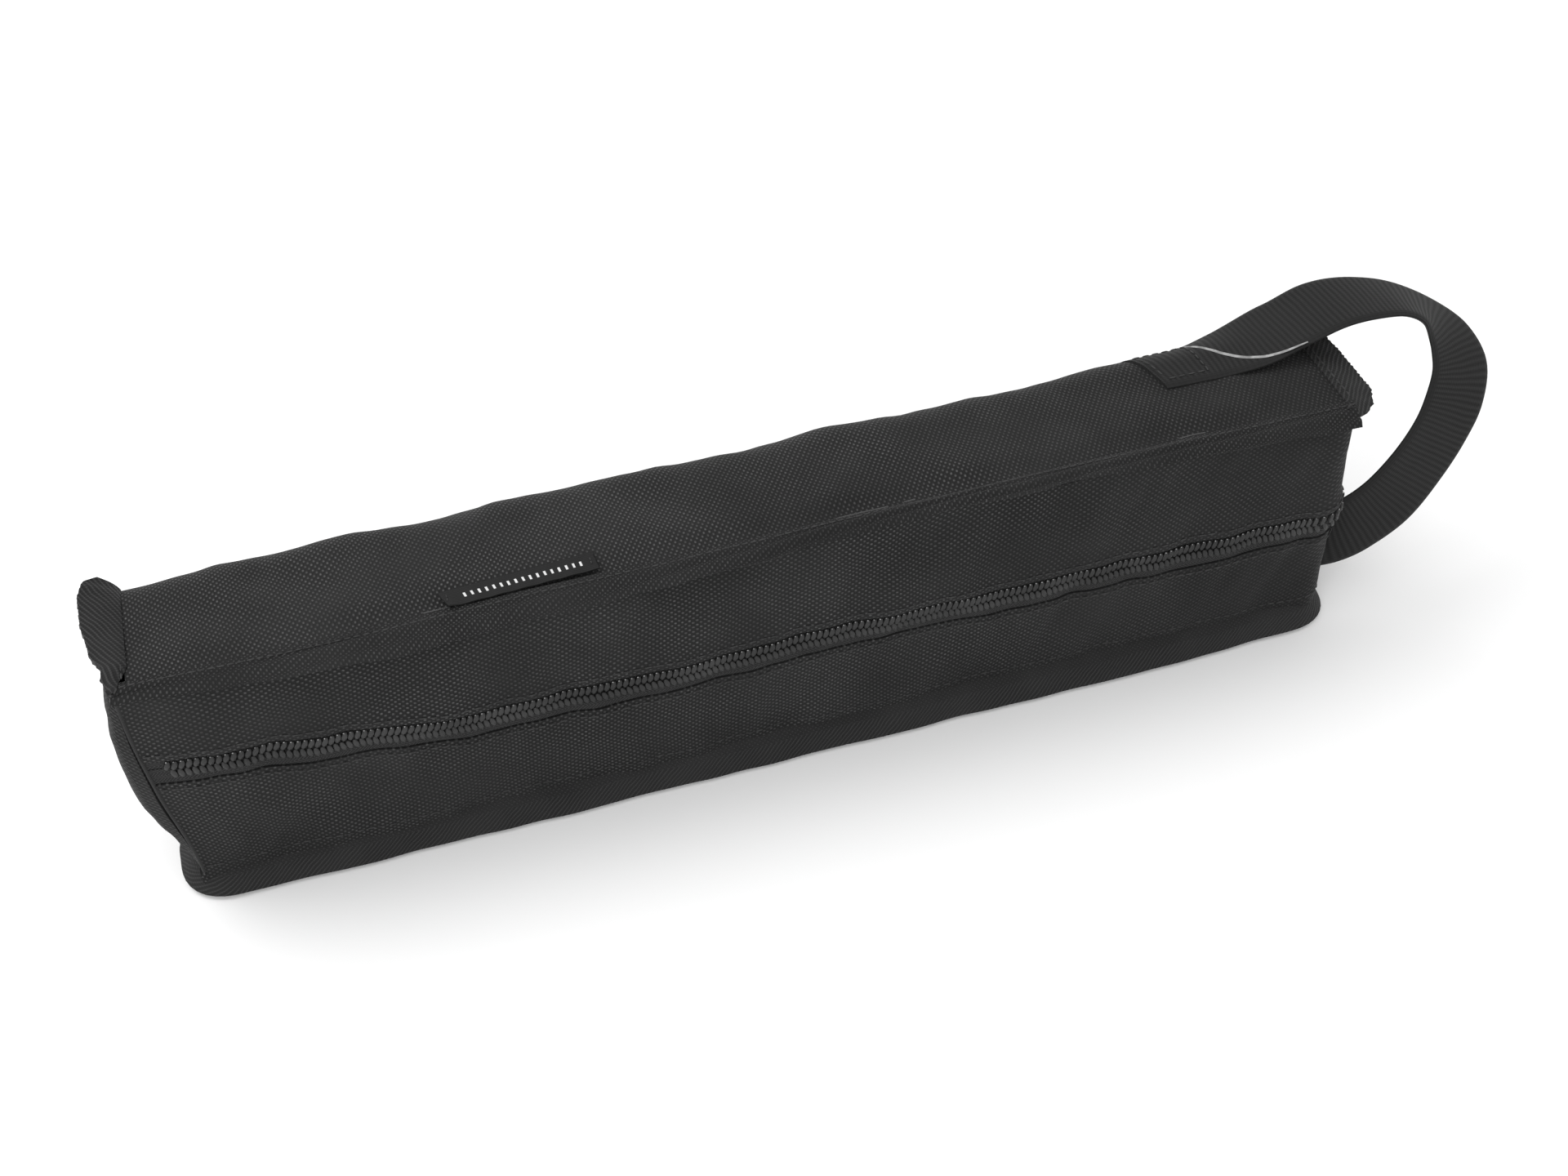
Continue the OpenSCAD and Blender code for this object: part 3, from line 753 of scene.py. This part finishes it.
def makeEnds():
    l, d, h, b = case["halfLength"], case["halfDepth"], case["height"], case["backCorner"]
    r = case["leftCorner"]
    left = np.concatenate([arc(-l + b, d - b, b, 90, 180, 8), [[-l - 0.15, r - d], [-l - 0.15, 0.1 - d]]])
    right = np.concatenate([[[l, 14.4]], arc(l - b, d - b, b, 0, 90, 8)])
    for side, plan in (("left", left), ("right", right)):
        plan, s = resample(plan, 1.5)
        n = lineNormals(plan)
        t = np.linspace(0, 1, endPanels["rows"])
        high = topOf(plan[:, 1])[:, None]
        z = (h - high) * (1 - t) + high * t
        y = plan[:, 1][:, None] + 0 * z
        share = np.clip((y + d) / (2 * d), 0, 1)
        if side == "left":
            swell = curve(endPanels["leftSwell"], z) * np.sin(math.pi * share ** 0.5) ** 0.9
            swell = swell + 0.4 * ripple(y, z, 21, 40, 12) * np.sin(math.pi * share)
            lean = leanOf(z) * (1 - smoothStep(-23, 5, y))
        else:
            swell, lean = 0 * z, 0 * z
        x = plan[:, 0][:, None] + n[:, 0][:, None] * swell - lean
        points = np.stack([x, y + n[:, 1][:, None] * swell, z], -1)
        gaps = np.linalg.norm(np.diff(points, axis=0), axis=2)
        s = np.concatenate([0 * gaps[:1], np.cumsum(gaps, axis=0)])
        uv = np.stack([s, z], -1)
        outer = shell(f"{side}_end_skin", points, uv, case["wall"], endCloth)
        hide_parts(f"{side}_end_panel", f"{side}_end_foam")
        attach(outer, "case")
        deep = points - gridNormals(points) * (case["wall"] + case["liningGap"])
        inner = shell(f"{side}_end_lining_cloth", deep, uv, case["liningWall"],
                      liningCloth)
        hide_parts(f"{side}_end_lining")
        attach(inner, "case")


makeEnds()
print("ends made")

# the folded tape along the top front seam: width and downward slope at places along it
topBinding = {
    "width": [(-166, 5.2), (-140, 7.6), (-95, 8.4), (-60, 7.8), (-20, 7.0), (20, 5.6), (60, 5.0),
              (110, 6.2), (160, 7.8)],
    "slope": [(-166, 44), (-140, 40), (-80, 36), (-20, 28), (20, 8), (60, -4), (100, 4),
              (130, 16), (160, 20)],
    "thick": 1.3,
}


def makeTopBinding():
    # folded tape along the top front seam: width and downward slope change along it
    x = np.linspace(-166.8, 166.0, 260)
    w = np.linspace(0, 1, 16)
    width, slope = curve(topBinding["width"], x), np.radians(curve(topBinding["slope"], x))
    width = width + 0.5 * ripple(x, 0 * x, 31, 60, 10)
    droop = slope[:, None] + 0.35 * (w[None, :] - 0.3) + 0.06 * ripple(x[:, None], w[None, :] * 8, 32, 50, 10)
    y = -21.6 - width[:, None] * w * np.cos(droop)
    z = 80.3 - width[:, None] * w * np.sin(droop) + 0.35 * np.sin(math.pi * w)
    crease = 0.45 * np.sin(2 * math.pi * (w[None, :] * 2.2 + x[:, None] / 70)) * smoothStep(0.15, 0.4, w)
    crease = crease + 0.25 * ripple(x[:, None] * 0.35, w[None, :] * 14, 33, 30, 8)
    shear = 3.2 * w[None, :] * (smoothStep(-166, -140, x) - 1)[:, None]
    points = np.stack(np.broadcast_arrays(x[:, None] + shear, y, z + crease), -1)
    uv = np.stack(np.broadcast_arrays(x[:, None], width[:, None] * w), -1)
    thick = topBinding["thick"] * np.sqrt(np.clip(1 - (2 * w - 1) ** 6, 0.05, 1))[None, :] + 0 * y
    middle = len(x) // 2
    for half, cut, side in (("left", slice(0, middle + 1), -1), ("right", slice(middle, len(x)), 1)):
        piece = shell(f"top_front_binding_{half}", points[cut], uv[cut], thick[cut], foldedCloth,
                      flip=True)
        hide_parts("top_front_binding")
        bendWith(piece, side)
    return points


flange = makeTopBinding()

bottomBinding = {
    "reach": 7.2,
    "high": 8.8,
    "low": 1.5,
    "thick": 1.3,
}


def makeBottomBinding():
    # folded tape round the foot: from the back of the left end, along the front, to the back of the right end
    l, d = case["halfLength"], case["halfDepth"]
    left = arc(9 - l, 9 - d, 7, 180, 270, 10)
    right = arc(l - 8, 8 - d, 8, -90, 0, 14)
    plan = np.concatenate([[[2.6 - l, 14]], left, right, [[l, 14]]])
    plan, s = resample(plan, 1.5)
    plan = np.stack([np.convolve(np.pad(plan[:, k], 2, "edge"), np.ones(5) / 5, "valid") for k in (0, 1)], 1)
    n = lineNormals(plan)
    w = np.linspace(0, 1, 12)
    reachOut = bottomBinding["reach"] - 1.6 * smoothStep(300, 345, s)
    reachOut = reachOut * (0.12 + 0.88 * smoothStep(0, 22, s) * smoothStep(0, 22, s[-1] - s))
    out = w ** 0.85 * (reachOut * (1 + 0.05 * ripple(s, 0 * s, 41, 50, 14)))[:, None]
    z = bottomBinding["high"] - (bottomBinding["high"] - bottomBinding["low"]) * w ** 1.15
    z = z[None, :] + 0.3 * ripple(s[:, None], 8 * w[None, :], 42, 60, 12) * np.sin(math.pi * w)
    x = plan[:, 0][:, None] + n[:, 0][:, None] * (out - 0.4)
    y = plan[:, 1][:, None] + n[:, 1][:, None] * (out - 0.4)
    points = np.stack([x, y, z], -1)
    uv = np.stack(np.broadcast_arrays(s[:, None], 11 * w), -1)
    piece = shell("bottom_binding", points, uv, bottomBinding["thick"], bindingTape,
                  flip=True)
    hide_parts("bottom_front_binding")
    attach(piece, "case")


makeBottomBinding()

ears = {
    "leftWidth": [(-23, 2.6), (-19, 4.8), (-11, 8.2), (0, 9.6), (8, 9.4), (13, 8.0), (17, 4.2)],
    "leftRise": [(-23, 0.6), (-16, 2.4), (-8, 3.9), (0, 4.4), (8, 5.4), (13, 6.6), (17, 6.4)],
    "rightWidth": [(-24.5, 3.4), (-23.4, 6.6), (-21, 9.0), (-16, 10.6), (0, 10), (10, 9), (17, 7)],
    "rightRise": [(-24.5, -4.2), (-21, -3.0), (-14, -1.8), (-6, -1.4), (4, -0.8), (12, 0.2), (17, 0.6)],
    "thick": 1.5,
}


def makeEars():
    # the short ends' bindings: a tape from the seam outwards, its width and rise changing with depth
    w = np.linspace(0, 1, 14)
    for side, sign, front, back in (("left", -1, -23.4, 16.2), ("right", 1, -24.5, 17.0)):
        y = np.linspace(front, back, 60)
        width, rise = curve(ears[side + "Width"], y), curve(ears[side + "Rise"], y)
        scallop = 0.22 * np.sin(2 * math.pi * y / 1.7) * w[None, :].T ** 6
        out = width[:, None] * w + scallop.T
        level = np.minimum(topOf(y), 80)[:, None] + 0.2
        z = level + rise[:, None] * w ** 0.8 + 0.5 * np.sin(math.pi * w)
        z = z + 0.25 * ripple(y[:, None], w * 10, 51, 24, 8)
        start = (2.6 * smoothStep(-15, -23, y) - 0.7) if side == "left" else -0.8 + 0 * y
        x = sign * (case["halfLength"] + start[:, None] + out)
        points = np.stack(np.broadcast_arrays(x, y[:, None], z), -1)
        uv = np.stack(np.broadcast_arrays(y[:, None], out), -1)
        piece = shell(f"{side}_end_ear", points, uv, ears["thick"], earTape, flip=sign > 0)
        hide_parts(f"{side}_end_binding")
        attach(piece, "case")


makeEars()


seamRoll = {
    "out": 0.45,
    "back": 0.35,
    "radius": 0.6,
}


def makeLeftSeam():
    # a narrow roll of cloth down the left front corner; its cloth is darker than the panels', painted shade
    # of the seam's crevice
    z = np.linspace(8.5, 79, 50)
    x = -case["halfLength"] - seamRoll["out"] - leanOf(z)
    path = np.stack([x, -case["halfDepth"] + seamRoll["back"] + 0 * z, z], -1)
    a = np.arange(8) * math.pi / 4
    profile = np.stack([seamRoll["radius"] * np.cos(a), seamRoll["radius"] * np.sin(a)], -1)
    side = np.tile([1.0, 0, 0], (len(z), 1))
    up = np.tile([0, 1.0, 0], (len(z), 1))
    piece = sweep("left_seam_roll", path, side, up, profile, seamCloth)
    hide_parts("left_seam_binding")
    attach(piece, "case")


makeLeftSeam()
print("bindings made")

# the wrist strap, its pale crease line (painted highlight and wear) and its route
strap = {
    "width": 25,
    "thick": 1.8,
    "cut": 0.25,
    # the pale crease line, a painted highlight with wear: place along the route counted in stops, place
    # across the webbing
    "crease": [(1.5, -8), (1.85, -3), (2.2, 2.6), (2.6, 7.0), (3.05, 9.8), (3.55, 11.4), (4.1, 12.2)],
    # middle of the webbing, then the direction across it from its far edge to its near edge
    "route": [
        [(120.5, 11.5, 81.05), (0.1, -1, 0)],
        [(129, 11.2, 81.05), (0.1, -1, 0)],
        [(138, 11, 81.05), (0.1, -1, 0)],
        [(150, 10.5, 81.85), (0.1, -1, 0.05)],
        [(161, 11, 84.25), (0.06, -1, 0.1)],
        [(173, 11.6, 87.65), (0.06, -1, 0.08)],
        [(184, 11.5, 87.85), (0, -1, 0.1)],
        [(195, 9.7, 86.25), (-0.2, -0.96, 0.19)],
        [(203, 5.6, 82.75), (-0.5, -0.81, 0.28)],
        [(207.6, -0.6, 77.45), (-0.8, -0.55, 0.25)],
        [(209, -7, 70.65), (-0.9, -0.29, 0.3)],
        [(206.6, -11.3, 62.75), (-0.87, -0.13, 0.48)],
        [(202, -14.4, 54.75), (-0.82, -0.11, 0.57)],
        [(195, -16.8, 45.45), (-0.75, -0.07, 0.65)],
        [(186, -18.2, 35.5), (-0.62, 0, 0.78)],
        [(177, -17.8, 29), (-0.39, 0, 0.92)],
        [(170.5, -16, 25.8), (-0.15, 0, 1)],
        [(166.7, -14.3, 25), (0, 0, 1)],
        [(166.05, -12.1, 25), (0, 0, 1)],
        [(166.05, -6, 25), (0, 0, 1)],
        [(166.05, 0, 25), (0, 0, 1)],
    ],
}


def throughPoints(stops, steps):
    # a smooth line through the stops: each cubic leaves a stop along the line between its neighbours
    p = np.concatenate([2 * stops[:1] - stops[1:2], stops, 2 * stops[-1:] - stops[-2:-1]])
    t = (np.arange(steps) / steps)[None, :, None]
    a, b, c, d = p[:-3, None], p[1:-2, None], p[2:-1, None], p[3:, None]
    made = 2 * b + (c - a) * t + (2 * a - 5 * b + 4 * c - d) * t ** 2
    made = 0.5 * (made + (3 * b - a - 3 * c + d) * t ** 3)
    return np.concatenate([made.reshape(-1, 3), stops[-1:]])


def settle(co):
    # the sewn end is cut on a slant, and its far side curls round the rounded back: past y = 8 the
    # depth becomes 8 + 16 sin(a) and the height drops by 16 (1 - cos(a)), with a = (y - 8) / 16
    co = co.copy()
    near = 1 - smoothStep(120, 140, co[:, 0])
    co[:, 0] -= strap["cut"] * (co[:, 1] - 0.5) * near
    lying = 1 - smoothStep(128, 160, co[:, 0])
    a = np.clip(co[:, 1] - 8, 0, 25) / 16
    co[:, 2] -= lying * 16 * (1 - np.cos(a))
    co[:, 1] -= lying * 16 * (a - np.sin(a))
    return co


def makeStrap():
    centres = np.array([row[0] for row in strap["route"]], float)
    widths = np.array([row[1] for row in strap["route"]], float)
    path = throughPoints(centres, 8)
    across = throughPoints(widths, 8)
    ahead = unit(np.gradient(path, axis=0))
    across = unit(across - ahead * np.sum(across * ahead, axis=1, keepdims=True))
    up = -np.cross(ahead, across)
    up = up * np.sign(up[:1, 2:3])
    half, thick = strap["width"] / 2, strap["thick"] / 2
    v = np.linspace(-half, half, 21)
    lip = np.sqrt(np.clip(1 - (np.abs(v) / half) ** 14, 0.06, 1)) * thick
    profile = np.concatenate([np.stack([v, lip], -1), np.stack([v[::-1], -lip[::-1]], -1)])
    piece = sweep("wrist_strap_webbing", path, across, up, profile, strapCloth)
    co = np.zeros(len(piece.data.vertices) * 3)
    piece.data.vertices.foreach_get("co", co)
    co = co.reshape(-1, 3) / mm
    co = settle(co)
    piece.data.vertices.foreach_set("co", (co * mm).ravel())
    piece.data.update()
    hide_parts("wrist_strap")
    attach(piece, "case")
    # pale strip along the crease that runs slantwise over the strap where it turns up from the panel: a
    # painted highlight where the crease catches light, and wear on its threads
    t = np.linspace(0, 1, 40)
    seat = np.array(strap["crease"], float)
    stop, v = (np.interp(t, np.linspace(0, 1, len(seat)), seat[:, k]) for k in (0, 1))
    stop, places = stop * 8, np.arange(len(path))
    run = join(path, places, stop) + v[:, None] * join(across, places, stop)
    run = settle(run + (thick + 0.05) * join(up, places, stop))
    for k in range(2):
        run[1:-1] = (run[:-2] + 2 * run[1:-1] + run[2:]) / 4
    width = 0.5 * np.sin(math.pi * (0.04 + 0.93 * t)) ** 0.5 + 0.08
    a = np.arange(8) * math.pi / 4
    profile = np.stack([np.cos(a), 0.35 * np.sin(a)], -1)
    heading = unit(np.gradient(run, axis=0))
    sideways = unit(np.cross(heading, np.array([0.0, 0, 1.0])))
    top = np.cross(sideways, heading)
    sideways, top = sideways * width[:, None], top * width[:, None]
    edge = sweep("strap_crease_highlight", run, sideways, top, profile, lightThread)
    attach(edge, "case")


makeStrap()
print("strap made")

# the woven label on the top panel
labelSet = {
    "corners": [(-86.5, -15.8, 81.0), (-85, -21.9, 81.0), (-45.5, -20.4, 81.1), (-46, -13.8, 81.3)],
    "thick": 0.35,
}


def makeLabel():
    # a four-cornered patch: u along, w across; the left front corner lifts a little
    a, b, c, d = (np.array(q, float) for q in labelSet["corners"])
    u, w = np.linspace(0, 1, 50)[:, None, None], np.linspace(0, 1, 12)[None, :, None]
    points = (b * (1 - u) + c * u) * (1 - w) + (a * (1 - u) + d * u) * w
    lift = 0.9 * np.clip(1 - u / 0.08, 0, 1) * np.clip(1 - w / 0.7, 0, 1) + 0.12 * np.sin(u * 40) * (1 - w)
    points = points + lift * np.array([0.3, -0.2, 1.0])
    uv = np.stack(np.broadcast_arrays((u[..., 0] - 0.5) * 40, (w[..., 0] - 0.5) * 5.2), -1)
    piece = shell("woven_label_patch", points, uv, labelSet["thick"], wovenLabel)
    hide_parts("woven_label")
    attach(piece, "case")


makeLabel()

# every row of stitching
stitch = {
    "pitch": 2.9,
    "size": (2.1, 0.5, 0.4),
}


def sewAlong(name, path, out, body, look=None, side=0, pitch=None, size=None):
    # one stitch every pitch along a path, lying on the surface whose outward direction is out
    gaps = np.concatenate([[0], np.cumsum(np.linalg.norm(np.diff(path, axis=0), axis=1))])
    at = np.arange(1.5, gaps[-1] - 1.0, pitch or stitch["pitch"])
    centre, up = join(path, gaps, at), unit(join(out, gaps, at))
    ahead = unit(join(np.gradient(path, axis=0), gaps, at))
    piece = beads(name, centre, ahead, up, size or stitch["size"], look or sewingThread)
    if side:
        bendWith(piece, side)
    else:
        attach(piece, body)
    return piece


def makeStitches():
    rows = {
        "upper_zip_side": ("upper_flap", zipHeight + zipRun["upperEdge"] + 2.2, 0.75),
        "lower_zip_side": ("lower_flap", zipHeight - zipRun["lowerEdge"] - 1.6, 0.75),
        "lower_foot": ("lower_flap", 0 * along + 10.6, 0.12),
    }
    for name, (flap, height, push) in rows.items():
        place, _ = wallBand(height, height + 0.01, 2, push)
        for half, cut, side in halves(len(line), line):
            path = place[cut, 0]
            out = np.concatenate([wallPlan(height[:, None])[1][cut, 0], 0 * normals[cut][:, :1]], 1)
            sewAlong(f"{name}_stitches_{half}", path, out, flap, side=side)
    upper = flange[:, 3] + [0, 0, 0.06]
    lift = np.tile([0, -0.3, 1.0], (len(upper), 1))
    middle = len(upper) // 2
    for half, cut, side in (("left", slice(0, middle + 1), -1), ("right", slice(middle, len(upper)), 1)):
        sewAlong(f"top_binding_stitches_{half}", upper[cut], lift[cut], "upper_flap", side=side, pitch=2.4,
                 size=(1.8, 0.45, 0.35))
    for side, sign in (("left", -1), ("right", 1)):
        y = np.linspace(-21, 12, 40)
        path = np.stack([sign * (case["halfLength"] + 0.6) + 0 * y, y, 81.0 + 0 * y], -1)
        sewAlong(f"{side}_ear_stitches", path, np.tile([0, 0, 1.0], (40, 1)), "case")
    corners = [(122, 2.0), (134, 2.0), (134, 18), (122, 18)]
    loop = np.array(corners + corners[:1], float)
    loop, _ = resample(loop, 1.0)
    path = settle(np.column_stack([loop, 82.05 + 0 * loop[:, 0]]))
    sewn = sewAlong("strap_top_sewing", path, np.tile([0, 0, 1.0], (len(path), 1)), "case")
    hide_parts("strap_top_stitches")
    box = np.array([(-9.5, 15.0), (-1.5, 15.0), (-1.5, 35.0), (-9.5, 35.0), (-9.5, 15.0)])
    box, _ = resample(box, 1.0)
    path = np.column_stack([0 * box[:, 0] + 167.05, box])
    sewn = sewAlong("strap_end_sewing", path, np.tile([1.0, 0, 0], (len(path), 1)), "case")
    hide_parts("strap_end_stitches")
    for k, x in enumerate((-84.6, -47.0)):
        y = np.linspace(-21.0, -16.4, 12) + (0 if k == 0 else 1.6)
        path = np.stack([x + 0 * y, y, 81.5 + 0 * y], -1)
        sewn = sewAlong(f"label_sewing_{k + 1}", path, np.tile([0, 0, 1.0], (12, 1)), "case", pitch=1.3,
                        size=(1.0, 0.3, 0.3))
        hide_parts("label_stitches")


makeStitches()
print("stitches made")

# carried-over CAD nodes: the slider, its bridge, its tab and the zip's stop
for node in ("slider_body", "slider_bridge", "pull_tab", "zip_end_stop"):
    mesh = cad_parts[node].data
    mesh.materials.clear()
    mesh.materials.append(darkMetal.material)


# floor, light and camera
studio = {
    "floor": 0.9,
    "floorSize": 6.0,
    "world": 1.0,
    "camera": (-0.0966, -0.4089, 0.4325),
    "right": (0.9571, -0.2866, -0.0435),
    "down": (-0.2261, -0.6442, -0.7307),
    "ahead": (0.1814, 0.7091, -0.6814),
    "lens": 47.17,
    # name, place, what it points at, size and power of each lamp
    "lamps": [
        ("key", (-0.7, 0.5, 1.3), (0, 0, 0), 1.0, 9),
        ("fill", (-0.6, -1.1, 0.8), (0, 0, 0.04), 0.9, 6),
    ],
}


def areaLight(name, place, target, size, power):
    lamp = bpy.data.lights.new(name, "AREA")
    lamp.shape, lamp.size, lamp.energy = "DISK", size, power
    made = bpy.data.objects.new(name, lamp)
    bpy.context.scene.collection.objects.link(made)
    made.location = place
    ahead = np.array(target, float) - np.array(place, float)
    made.rotation_mode = "QUATERNION"
    made.rotation_quaternion = Vector(ahead).to_track_quat("-Z", "Y")


def makeStudio():
    floorLook = Look("studio_floor", Roughness=0.9)
    floorLook.set("Base Color", grey(studio["floor"]))
    size = studio["floorSize"]
    mesh = bpy.data.meshes.new("floor")
    corners = [(-size, -size, 0), (size, -size, 0), (size, size, 0), (-size, size, 0)]
    mesh.from_pydata(corners, [], [(0, 1, 2, 3)])
    mesh.materials.append(floorLook.material)
    floor = bpy.data.objects.new("floor", mesh)
    bpy.context.scene.collection.objects.link(floor)
    world = bpy.data.worlds.new("studio")
    bpy.context.scene.world = world
    world.use_nodes = True
    world.node_tree.nodes["Background"].inputs[0].default_value = (1, 1, 1, 1)
    world.node_tree.nodes["Background"].inputs[1].default_value = studio["world"]
    for lamp in studio["lamps"]:
        areaLight(*lamp)
    camera = bpy.data.cameras.new("camera")
    camera.lens, camera.sensor_width, camera.clip_start = studio["lens"], 36, 0.01
    made = bpy.data.objects.new("camera", camera)
    bpy.context.scene.collection.objects.link(made)
    right, down, ahead = (np.array(studio[k]) for k in ("right", "down", "ahead"))
    turn = np.eye(4)
    turn[:3, 0], turn[:3, 1], turn[:3, 2], turn[:3, 3] = right, -down, -ahead, studio["camera"]
    made.matrix_world = Matrix(turn.tolist())
    bpy.context.scene.camera = made
    bpy.context.scene.view_settings.view_transform = "Standard"


makeStudio()
print("studio made")
